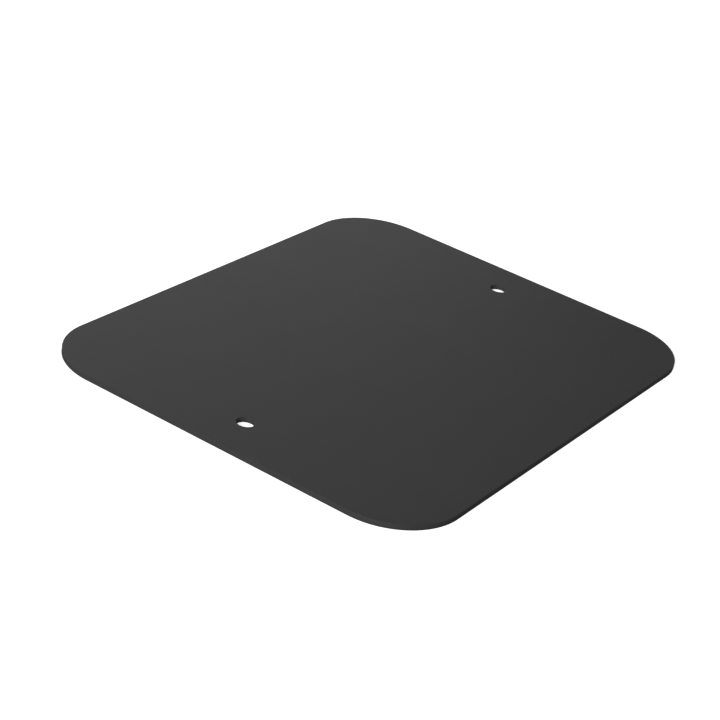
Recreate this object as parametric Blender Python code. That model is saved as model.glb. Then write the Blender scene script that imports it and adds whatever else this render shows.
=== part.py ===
"""Flat fence post cap: one coated sheet-steel plate with round corners and two screw holes.

Metres, +Z up. The origin is the middle of the underside, which lies on the end of the post.
X runs along the long side and Y along the short side.
"""

import bmesh
import bpy
from mathutils import Matrix, Vector

# Driving dimensions
PLATE_LENGTH = 0.125
PLATE_WIDTH = 0.100
SHEET_THICKNESS = 0.00125
CORNER_RADIUS = 0.016
SCREW_HOLE_DIAMETER = 0.004
SCREW_HOLE_EDGE_DISTANCE = 0.01125
EDGE_BREAK = 0.0001

# How finely the round stretches are cut into flats, and the turn in radians above which an edge is sharp
CORNER_SEGMENTS = 20
HOLE_SEGMENTS = 48
EDGE_BREAK_SEGMENTS = 2
SHARP_TURN = 0.4

# How far a hole cutter stands out of each face of the sheet
CUTTER_OVERRUN = 0.001

# Coating: black satin powder coat
COATING_COLOUR = (0.051, 0.051, 0.051, 1.0)
COATING_ROUGHNESS = 0.6
COATING_METALLIC = 0.0


def clear_scene():
    """Removes whatever the file opened with."""
    for obj in list(bpy.data.objects):
        bpy.data.objects.remove(obj, do_unlink=True)


def coating_material():
    """The powder coat that covers every face of the plate."""
    material = bpy.data.materials.new("black_powder_coat")
    material.use_nodes = True
    shader = material.node_tree.nodes["Principled BSDF"]
    shader.inputs["Base Color"].default_value = COATING_COLOUR
    shader.inputs["Roughness"].default_value = COATING_ROUGHNESS
    shader.inputs["Metallic"].default_value = COATING_METALLIC
    return material


def object_from(name, shape):
    """Puts a finished bmesh into the scene as an object of this name."""
    mesh = bpy.data.meshes.new(name)
    shape.to_mesh(mesh)
    shape.free()
    obj = bpy.data.objects.new(name, mesh)
    bpy.context.scene.collection.objects.link(obj)
    return obj


def blank():
    """The sheet blank: a rectangle whose corners are rounded, then raised to the sheet's thickness."""
    shape = bmesh.new()
    size = Matrix.Diagonal((PLATE_LENGTH, PLATE_WIDTH, 1.0, 1.0))
    bmesh.ops.create_grid(shape, x_segments=1, y_segments=1, size=0.5, matrix=size)
    bmesh.ops.bevel(
        shape,
        geom=list(shape.verts),
        offset=CORNER_RADIUS,
        offset_type="OFFSET",
        segments=CORNER_SEGMENTS,
        profile=0.5,
        affect="VERTICES",
        material=-1,
    )
    underside = list(shape.faces)
    raised = bmesh.ops.extrude_face_region(shape, geom=underside, use_keep_orig=True)
    top = [item for item in raised["geom"] if isinstance(item, bmesh.types.BMVert)]
    bmesh.ops.translate(shape, verts=top, vec=Vector((0.0, 0.0, SHEET_THICKNESS)))
    bmesh.ops.recalc_face_normals(shape, faces=list(shape.faces))
    return object_from("cap_plate", shape)


def hole_cutter(name, along):
    """A round cutter, longer than the sheet is thick, at this place on the long centre line."""
    shape = bmesh.new()
    bmesh.ops.create_cone(
        shape,
        cap_ends=True,
        segments=HOLE_SEGMENTS,
        radius1=SCREW_HOLE_DIAMETER / 2,
        radius2=SCREW_HOLE_DIAMETER / 2,
        depth=SHEET_THICKNESS + 2 * CUTTER_OVERRUN,
        matrix=Matrix.Translation((along, 0.0, SHEET_THICKNESS / 2)),
    )
    cutter = object_from(name, shape)
    cutter.hide_render = True
    cutter.display_type = "WIRE"
    return cutter


def cut(obj, cutter):
    """Takes the cutter's shape out of the object."""
    modifier = obj.modifiers.new(cutter.name, "BOOLEAN")
    modifier.operation = "DIFFERENCE"
    modifier.solver = "EXACT"
    modifier.object = cutter


def break_edges(obj):
    """Rounds off the sharp edges left by cutting, on the outline and in the holes."""
    modifier = obj.modifiers.new("edge_break", "BEVEL")
    modifier.width = EDGE_BREAK
    modifier.segments = EDGE_BREAK_SEGMENTS
    modifier.limit_method = "ANGLE"
    modifier.angle_limit = SHARP_TURN
    modifier.profile = 0.5
    modifier.harden_normals = True


def cap_plate():
    """The whole cap: blank, two screw holes near the short sides, broken edges and coating."""
    plate = blank()
    hole_place = PLATE_LENGTH / 2 - SCREW_HOLE_EDGE_DISTANCE
    for name, along in (("left_hole", -hole_place), ("right_hole", hole_place)):
        cut(plate, hole_cutter(name, along))
    break_edges(plate)
    plate.data.shade_smooth()
    plate.data.set_sharp_from_angle(angle=SHARP_TURN)
    plate.data.materials.append(coating_material())


clear_scene()
cap_plate()
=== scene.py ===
"""Dresses a flat fence post cap: one blanked sheet-steel plate with a satin powder coat.

The plate lies on a white studio sweep, lit by a softbox at its left and a low strip behind it. The camera
stands where the photograph was taken from. Metres, +Z up, X along the plate's long side.
"""

import logging
import math
from dataclasses import dataclass
from enum import Enum

import bmesh
import bpy
from mathutils import Matrix, Quaternion, Vector


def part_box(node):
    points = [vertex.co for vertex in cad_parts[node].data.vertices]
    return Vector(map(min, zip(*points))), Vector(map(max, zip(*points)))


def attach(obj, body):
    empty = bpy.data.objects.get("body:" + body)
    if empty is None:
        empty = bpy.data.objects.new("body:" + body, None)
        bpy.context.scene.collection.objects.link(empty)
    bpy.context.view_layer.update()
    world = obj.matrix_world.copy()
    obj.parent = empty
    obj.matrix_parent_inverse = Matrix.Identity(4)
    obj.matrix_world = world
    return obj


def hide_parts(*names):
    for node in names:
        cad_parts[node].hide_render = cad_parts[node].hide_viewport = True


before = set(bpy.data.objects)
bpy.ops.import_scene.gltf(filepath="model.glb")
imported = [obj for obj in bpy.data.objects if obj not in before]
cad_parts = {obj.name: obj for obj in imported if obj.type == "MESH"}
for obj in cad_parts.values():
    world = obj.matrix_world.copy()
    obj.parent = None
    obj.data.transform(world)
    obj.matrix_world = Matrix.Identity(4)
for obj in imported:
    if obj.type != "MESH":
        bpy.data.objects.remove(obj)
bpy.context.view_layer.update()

LOG = logging.getLogger("post_cap")
MM = 0.001
PLATE_NODE = "cap_plate"
PLATE_BODY = "root"

Colour = tuple[float, float, float, float]
Settings = dict[str, float | tuple[float, ...]]
Links = dict[str, bpy.types.NodeSocket]


class SheetSide(Enum):
    """The two faces of the sheet. The punch enters at the top, so the burr side is the underside."""

    TOP = 1
    UNDERSIDE = -1


class HoleEnd(Enum):
    """Which short side of the plate a screw hole is near, as a sign along X."""

    LEFT = -1
    RIGHT = 1


class CoatZone(Enum):
    """Which part of the plate a face belongs to, as its material slot on the mesh."""

    FLAT = 0
    CUT_EDGE = 1


def linear(hex_colour: str) -> Colour:
    """Turns an sRGB hex colour into linear RGBA.

    Args:
        hex_colour: a colour such as "#202020".

    Returns:
        The red, green and blue parts in linear light, with full alpha.
    """
    parts = [int(hex_colour[at : at + 2], 16) / 255 for at in (1, 3, 5)]
    # The sRGB curve is straight near black and a power above that.
    red, green, blue = [p / 12.92 if p <= 0.04045 else ((p + 0.055) / 1.055) ** 2.4 for p in parts]
    return red, green, blue, 1.0


def add_node(tree: bpy.types.NodeTree, kind: str, settings: Settings, links: Links) -> bpy.types.Node:
    """Adds a node, sets some of its inputs and links others.

    Args:
        tree: the node tree that the node joins.
        kind: Blender's name for the type of node.
        settings: values by the name of the input that each one sets.
        links: output sockets of other nodes by the name of the input that each one feeds.

    Returns:
        The new node.
    """
    node = tree.nodes.new(kind)
    for name, value in settings.items():
        node.inputs[name].default_value = value
    for name, output in links.items():
        tree.links.new(output, node.inputs[name])
    return node


@dataclass(frozen=True)
class FilmPattern:
    """A cloudy pattern in the baked film: how wide one cloud is, its finer layers and its height."""

    cell_mm: float
    layers: float
    relief_mm: float = 0.0


@dataclass(frozen=True)
class SatinPowderCoat:
    """Black polyester powder coat on steel, sprayed on dry and baked.

    The eye sees a dark film with a soft, broad sheen. The film flows out before it sets, which leaves a
    faint orange peel of low cells a few millimetres wide, and tone and sheen vary a little in wider
    clouds. The satin comes from a matting grain far below a tenth of a millimetre. It is drawn coarser
    than that, because at its own size it wouldn't show even from near by.
    """

    name: str
    pigment: str = "#404040"
    pale_pigment: str = "#434343"
    ior: float = 1.5
    specular: float = 0.25
    roughness_low: float = 0.58
    roughness_high: float = 0.6
    mottle: FilmPattern = FilmPattern(cell_mm=14.0, layers=2.0)
    sheen_patch: FilmPattern = FilmPattern(cell_mm=9.0, layers=3.0)
    peel: FilmPattern = FilmPattern(cell_mm=2.4, layers=1.0, relief_mm=0.02)
    grain: FilmPattern = FilmPattern(cell_mm=0.6, layers=2.0, relief_mm=0.02)
    stretch_along_z: float = 1.0

    def material(self) -> bpy.types.Material:
        """Makes the coat.

        Returns:
            A material that reads Object coordinates, so its patterns have a real size on the plate.
        """
        made = bpy.data.materials.new(self.name)
        made.use_nodes = True
        tree = made.node_tree
        tree.nodes.clear()
        place = add_node(tree, "ShaderNodeTexCoord", {}, {}).outputs["Object"]
        stretch = (1.0, 1.0, 1.0 / self.stretch_along_z)
        spot = add_node(tree, "ShaderNodeMapping", {"Scale": stretch}, {"Vector": place})
        clouds: dict[FilmPattern, bpy.types.NodeSocket] = {}
        for pattern in (self.mottle, self.sheen_patch, self.peel, self.grain):
            settings = {"Scale": 1.0 / (pattern.cell_mm * MM), "Detail": pattern.layers}
            noise = add_node(tree, "ShaderNodeTexNoise", settings, {"Vector": spot.outputs["Vector"]})
            clouds[pattern] = noise.outputs["Fac"]
        tint = add_node(tree, "ShaderNodeValToRGB", {}, {"Fac": clouds[self.mottle]})
        for stop, colour in zip(tint.color_ramp.elements, (self.pigment, self.pale_pigment)):
            stop.color = linear(colour)
        roughness = add_node(
            tree,
            "ShaderNodeMapRange",
            {"To Min": self.roughness_low, "To Max": self.roughness_high},
            {"Value": clouds[self.sheen_patch]},
        )
        # The grain lies on the peel, so each relief bends the normal that the one before it left.
        bent: Links = {}
        for pattern in (self.peel, self.grain):
            settings = {"Strength": 1.0, "Distance": pattern.relief_mm * MM}
            relief = add_node(tree, "ShaderNodeBump", settings, {"Height": clouds[pattern], **bent})
            bent = {"Normal": relief.outputs["Normal"]}
        shader = add_node(
            tree,
            "ShaderNodeBsdfPrincipled",
            {"IOR": self.ior, "Specular IOR Level": self.specular, "Metallic": 0.0},
            {"Base Color": tint.outputs["Color"], "Roughness": roughness.outputs["Result"], **bent},
        )
        add_node(tree, "ShaderNodeOutputMaterial", {}, {"Surface": shader.outputs["BSDF"]})
        return made


@dataclass(frozen=True)
class BackgroundPaper:
    """Matt white background paper, which gives the eye an even ground.

    It has some light of its own, so that shadows on it stay faint.
    """

    name: str = "white_background_paper"
    colour: str = "#f4f4f4"
    roughness: float = 1.0
    glow: float = 0.88

    def material(self) -> bpy.types.Material:
        """Makes the paper.

        Returns:
            A material that is the same all over.
        """
        made = bpy.data.materials.new(self.name)
        made.use_nodes = True
        shader = made.node_tree.nodes["Principled BSDF"]
        shader.inputs["Base Color"].default_value = linear(self.colour)
        shader.inputs["Roughness"].default_value = self.roughness
        shader.inputs["Emission Color"].default_value = linear(self.colour)
        shader.inputs["Emission Strength"].default_value = self.glow
        return made


@dataclass
class CapPlate:
    """The cap: a blanked and pierced sheet with round corners, coated all over.

    An edge that turns by more than square_turn is rounded, and a face that slopes by more is a cut edge.
    """

    low: Vector
    high: Vector
    corner_radius: float = 16 * MM
    hole_diameter: float = 4 * MM
    hole_edge_distance: float = 11.25 * MM
    top_roll_over: float = 0.1 * MM
    underside_break: float = 0.06 * MM
    rim_width: float = 0.3 * MM
    corner_segments: int = 48
    hole_segments: int = 96
    edge_segments: int = 4
    square_turn: float = math.radians(60)

    @property
    def thickness(self) -> float:
        """The sheet's thickness."""
        return self.high.z - self.low.z

    def build(self) -> bpy.types.Object:
        """Models the plate where the solid lies.

        Returns:
            The plate's object, at the origin, with its place in its mesh.
        """
        shape = bmesh.new()
        self._corner_outline(shape)
        for end in HoleEnd:
            self._hole_outline(shape, end)
        bmesh.ops.triangle_fill(shape, use_beauty=True, edges=list(shape.edges))
        # A narrow rim round the outline and the holes keeps the shading of the wide faces flat.
        bmesh.ops.inset_region(
            shape,
            faces=list(shape.faces),
            use_boundary=True,
            use_even_offset=True,
            thickness=self.rim_width,
        )
        self._raise_to_thickness(shape)
        self._round_edges(shape, SheetSide.TOP, self.top_roll_over)
        self._round_edges(shape, SheetSide.UNDERSIDE, self.underside_break)
        self._mark_zones(shape)
        mesh = bpy.data.meshes.new("coated_cap_plate")
        shape.to_mesh(mesh)
        shape.free()
        plate = bpy.data.objects.new("coated_cap_plate", mesh)
        bpy.context.scene.collection.objects.link(plate)
        return plate

    def dress(self, plate: bpy.types.Object, flat: SatinPowderCoat, cut_edge: SatinPowderCoat) -> None:
        """Coats the plate and lets it stand for the solid.

        Args:
            plate: the object that build made.
            flat: the coat on the two faces.
            cut_edge: the coat on the cut edge and in the holes.
        """
        plate.data.materials.append(flat.material())
        plate.data.materials.append(cut_edge.material())
        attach(plate, PLATE_BODY)
        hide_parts(PLATE_NODE)

    def _corner_outline(self, shape: bmesh.types.BMesh) -> None:
        """Draws the outline on the underside, with its corners rounded.

        Args:
            shape: the empty mesh that the outline goes into.
        """
        size = self.high - self.low
        middle = (self.high + self.low) / 2
        stretch = Matrix.Diagonal((size.x, size.y, 1.0, 1.0))
        place = Matrix.Translation((middle.x, middle.y, self.low.z))
        bmesh.ops.create_grid(shape, x_segments=1, y_segments=1, size=0.5, matrix=place @ stretch)
        bmesh.ops.bevel(
            shape,
            geom=list(shape.verts),
            offset=self.corner_radius,
            offset_type="OFFSET",
            segments=self.corner_segments,
            profile=0.5,
            affect="VERTICES",
            material=-1,
        )
        bmesh.ops.delete(shape, geom=list(shape.faces), context="FACES_ONLY")

    def _hole_outline(self, shape: bmesh.types.BMesh, end: HoleEnd) -> None:
        """Draws one screw hole on the underside, on the long centre line.

        Args:
            shape: the mesh that holds the outline.
            end: the short side that the hole is near.
        """
        along = end.value * (self.high.x - self.hole_edge_distance)
        across = (self.high.y + self.low.y) / 2
        bmesh.ops.create_circle(
            shape,
            cap_ends=False,
            segments=self.hole_segments,
            radius=self.hole_diameter / 2,
            matrix=Matrix.Translation((along, across, self.low.z)),
        )

    def _raise_to_thickness(self, shape: bmesh.types.BMesh) -> None:
        """Raises the drawn face into a sheet, with walls round its outline and in its holes.

        Args:
            shape: the mesh of the underside.
        """
        raised = bmesh.ops.extrude_face_region(shape, geom=list(shape.faces), use_keep_orig=True)
        top = [item for item in raised["geom"] if isinstance(item, bmesh.types.BMVert)]
        bmesh.ops.translate(shape, verts=top, vec=Vector((0.0, 0.0, self.thickness)))
        bmesh.ops.recalc_face_normals(shape, faces=list(shape.faces))

    def _round_edges(self, shape: bmesh.types.BMesh, side: SheetSide, radius: float) -> None:
        """Rounds the square edges of one side, round the outline and in the holes.

        Args:
            shape: the mesh of the raised sheet.
            side: the face whose edges are rounded.
            radius: how far the rounding reaches from the square edge.
        """
        level = self.high.z if side is SheetSide.TOP else self.low.z
        square = [
            edge
            for edge in shape.edges
            if edge.calc_face_angle(0.0) > self.square_turn
            and all(abs(vertex.co.z - level) < radius / 2 for vertex in edge.verts)
        ]
        bmesh.ops.bevel(
            shape,
            geom=square,
            offset=radius,
            offset_type="OFFSET",
            segments=self.edge_segments,
            profile=0.5,
            affect="EDGES",
            clamp_overlap=True,
            material=-1,
        )

    def _mark_zones(self, shape: bmesh.types.BMesh) -> None:
        """Shades every face smooth and gives the walls the cut edge's coat.

        Args:
            shape: the finished mesh.
        """
        for face in shape.faces:
            face.smooth = True
            steep = abs(face.normal.z) < math.cos(self.square_turn)
            face.material_index = (CoatZone.CUT_EDGE if steep else CoatZone.FLAT).value


@dataclass(frozen=True)
class Softbox:
    """A rectangular diffused lamp that faces a point."""

    name: str
    place: Vector
    aim: Vector
    width: float
    height: float
    watts: float

    def build(self) -> None:
        """Hangs the lamp."""
        lamp = bpy.data.lights.new(self.name, "AREA")
        lamp.shape = "RECTANGLE"
        lamp.size = self.width
        lamp.size_y = self.height
        lamp.energy = self.watts
        hung = bpy.data.objects.new(self.name, lamp)
        hung.location = self.place
        hung.rotation_euler = (self.aim - self.place).to_track_quat("-Z", "Y").to_euler()
        bpy.context.scene.collection.objects.link(hung)


@dataclass(frozen=True)
class StudioSweep:
    """A white floor that curves up into a wall all round, so that every view has the same pale ground."""

    floor_radius: float = 3.0
    cove_radius: float = 1.0
    wall_height: float = 2.0
    cove_steps: int = 16
    turn_steps: int = 96
    merge_distance: float = 0.01 * MM

    def build(self, paper: BackgroundPaper) -> bpy.types.Object:
        """Turns the sweep's profile round the plate and hides it from the light that reaches the plate.

        Args:
            paper: what the sweep is made of.

        Returns:
            The sweep's object.
        """
        shape = bmesh.new()
        self._draw_profile(shape)
        bmesh.ops.spin(
            shape,
            geom=list(shape.verts) + list(shape.edges),
            cent=(0.0, 0.0, 0.0),
            axis=(0.0, 0.0, 1.0),
            angle=2 * math.pi,
            steps=self.turn_steps,
            use_merge=True,
        )
        bmesh.ops.remove_doubles(shape, verts=list(shape.verts), dist=self.merge_distance)
        bmesh.ops.recalc_face_normals(shape, faces=list(shape.faces))
        for face in shape.faces:
            face.smooth = True
        mesh = bpy.data.meshes.new("studio_sweep")
        shape.to_mesh(mesh)
        shape.free()
        mesh.materials.append(paper.material())
        sweep = bpy.data.objects.new("studio_sweep", mesh)
        bpy.context.scene.collection.objects.link(sweep)
        # The sweep is bright ground for the eye only: the plate is lit by the lamps and the room alone.
        sweep.visible_diffuse = False
        sweep.visible_glossy = False
        sweep.visible_shadow = False
        return sweep

    def _draw_profile(self, shape: bmesh.types.BMesh) -> None:
        """Draws the sweep's section from its middle outwards: the floor, the cove and the wall.

        Args:
            shape: the empty mesh that the section goes into.
        """
        start = shape.verts.new((0.0, 0.0, 0.0))
        out = bmesh.ops.extrude_vert_indiv(shape, verts=[start])["verts"]
        bmesh.ops.translate(shape, verts=out, vec=Vector((self.floor_radius, 0.0, 0.0)))
        bend = bmesh.ops.spin(
            shape,
            geom=out,
            cent=(self.floor_radius, 0.0, self.cove_radius),
            axis=(0.0, -1.0, 0.0),
            angle=math.pi / 2,
            steps=self.cove_steps,
        )
        last = [item for item in bend["geom_last"] if isinstance(item, bmesh.types.BMVert)]
        wall = bmesh.ops.extrude_vert_indiv(shape, verts=last)["verts"]
        bmesh.ops.translate(shape, verts=wall, vec=Vector((0.0, 0.0, self.wall_height)))


@dataclass(frozen=True)
class Studio:
    """The sweep, the lamps and the dim room round them."""

    room: str = "#6e6e6e"
    room_strength: float = 1.0

    def build(self, target: Vector) -> None:
        """Sets up the ground and the light.

        Args:
            target: the point on the plate that the lamps face.
        """
        StudioSweep().build(BackgroundPaper())
        lamps = [
            Softbox(
                name="left_softbox",
                place=Vector((-1.795, -0.252, 0.845)),
                aim=target,
                width=0.7,
                height=0.35,
                watts=28.4,
            ),
            Softbox(
                name="low_back_strip",
                place=Vector((0.05, 0.22, 0.09)),
                aim=target,
                width=0.7,
                height=0.08,
                watts=0.3,
            ),
        ]
        for lamp in lamps:
            lamp.build()
        world = bpy.data.worlds.new("studio_room")
        world.use_nodes = True
        background = world.node_tree.nodes["Background"]
        background.inputs["Color"].default_value = linear(self.room)
        background.inputs["Strength"].default_value = self.room_strength
        bpy.context.scene.world = world
        # The plain transform keeps the paper white and the coat as dark as it is lit.
        bpy.context.scene.view_settings.view_transform = "Standard"


@dataclass(frozen=True)
class PhotoCamera:
    """The camera that took the photograph: a long lens, a little turned, above the plate's left end."""

    lens_mm: float = 98.74
    sensor_mm: float = 36.0
    distance: float = 441.94 * MM
    azimuth_deg: float = -149.93
    elevation_deg: float = 27.18
    roll_deg: float = 10.48
    aim_x: float = -8.71 * MM
    aim_y: float = 0.47 * MM

    def build(self, top: float) -> None:
        """Places the camera and makes it the scene's own.

        Args:
            top: the height of the plate's top face, which the camera faces.
        """
        lens = bpy.data.cameras.new("photo_camera")
        lens.lens = self.lens_mm
        lens.sensor_width = self.sensor_mm
        azimuth = math.radians(self.azimuth_deg)
        elevation = math.radians(self.elevation_deg)
        level = math.cos(elevation)
        back = Vector((level * math.cos(azimuth), level * math.sin(azimuth), math.sin(elevation)))
        roll = Quaternion((0.0, 0.0, 1.0), math.radians(self.roll_deg))
        camera = bpy.data.objects.new("photo_camera", lens)
        camera.rotation_mode = "QUATERNION"
        camera.rotation_quaternion = (-back).to_track_quat("-Z", "Y") @ roll
        camera.location = Vector((self.aim_x, self.aim_y, top)) + back * self.distance
        bpy.context.scene.collection.objects.link(camera)
        bpy.context.scene.camera = camera


def main() -> None:
    """Builds the plate, the studio and the camera, in that order."""
    logging.basicConfig(level=logging.INFO, format="%(name)s: %(message)s")
    low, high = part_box(PLATE_NODE)
    cap = CapPlate(low, high)
    plate = cap.build()
    flat = SatinPowderCoat("satin_powder_coat")
    # On the thin cut edge the film's cells are small and drawn out along the sheet's thickness.
    edge_peel = FilmPattern(cell_mm=0.9, layers=1.0, relief_mm=0.0075)
    cut_edge = SatinPowderCoat("satin_powder_coat_on_cut_edge", peel=edge_peel, stretch_along_z=6.0)
    cap.dress(plate, flat, cut_edge)
    LOG.info("%s: %d faces, %.2f mm thick", plate.name, len(plate.data.polygons), cap.thickness / MM)
    Studio().build(Vector((0.0, 0.0, high.z)))
    LOG.info("studio: white sweep and %d lamps", len(bpy.data.lights))
    PhotoCamera().build(high.z)
    LOG.info("camera: %s", bpy.context.scene.camera.name)


if __name__ == "__main__":
    main()
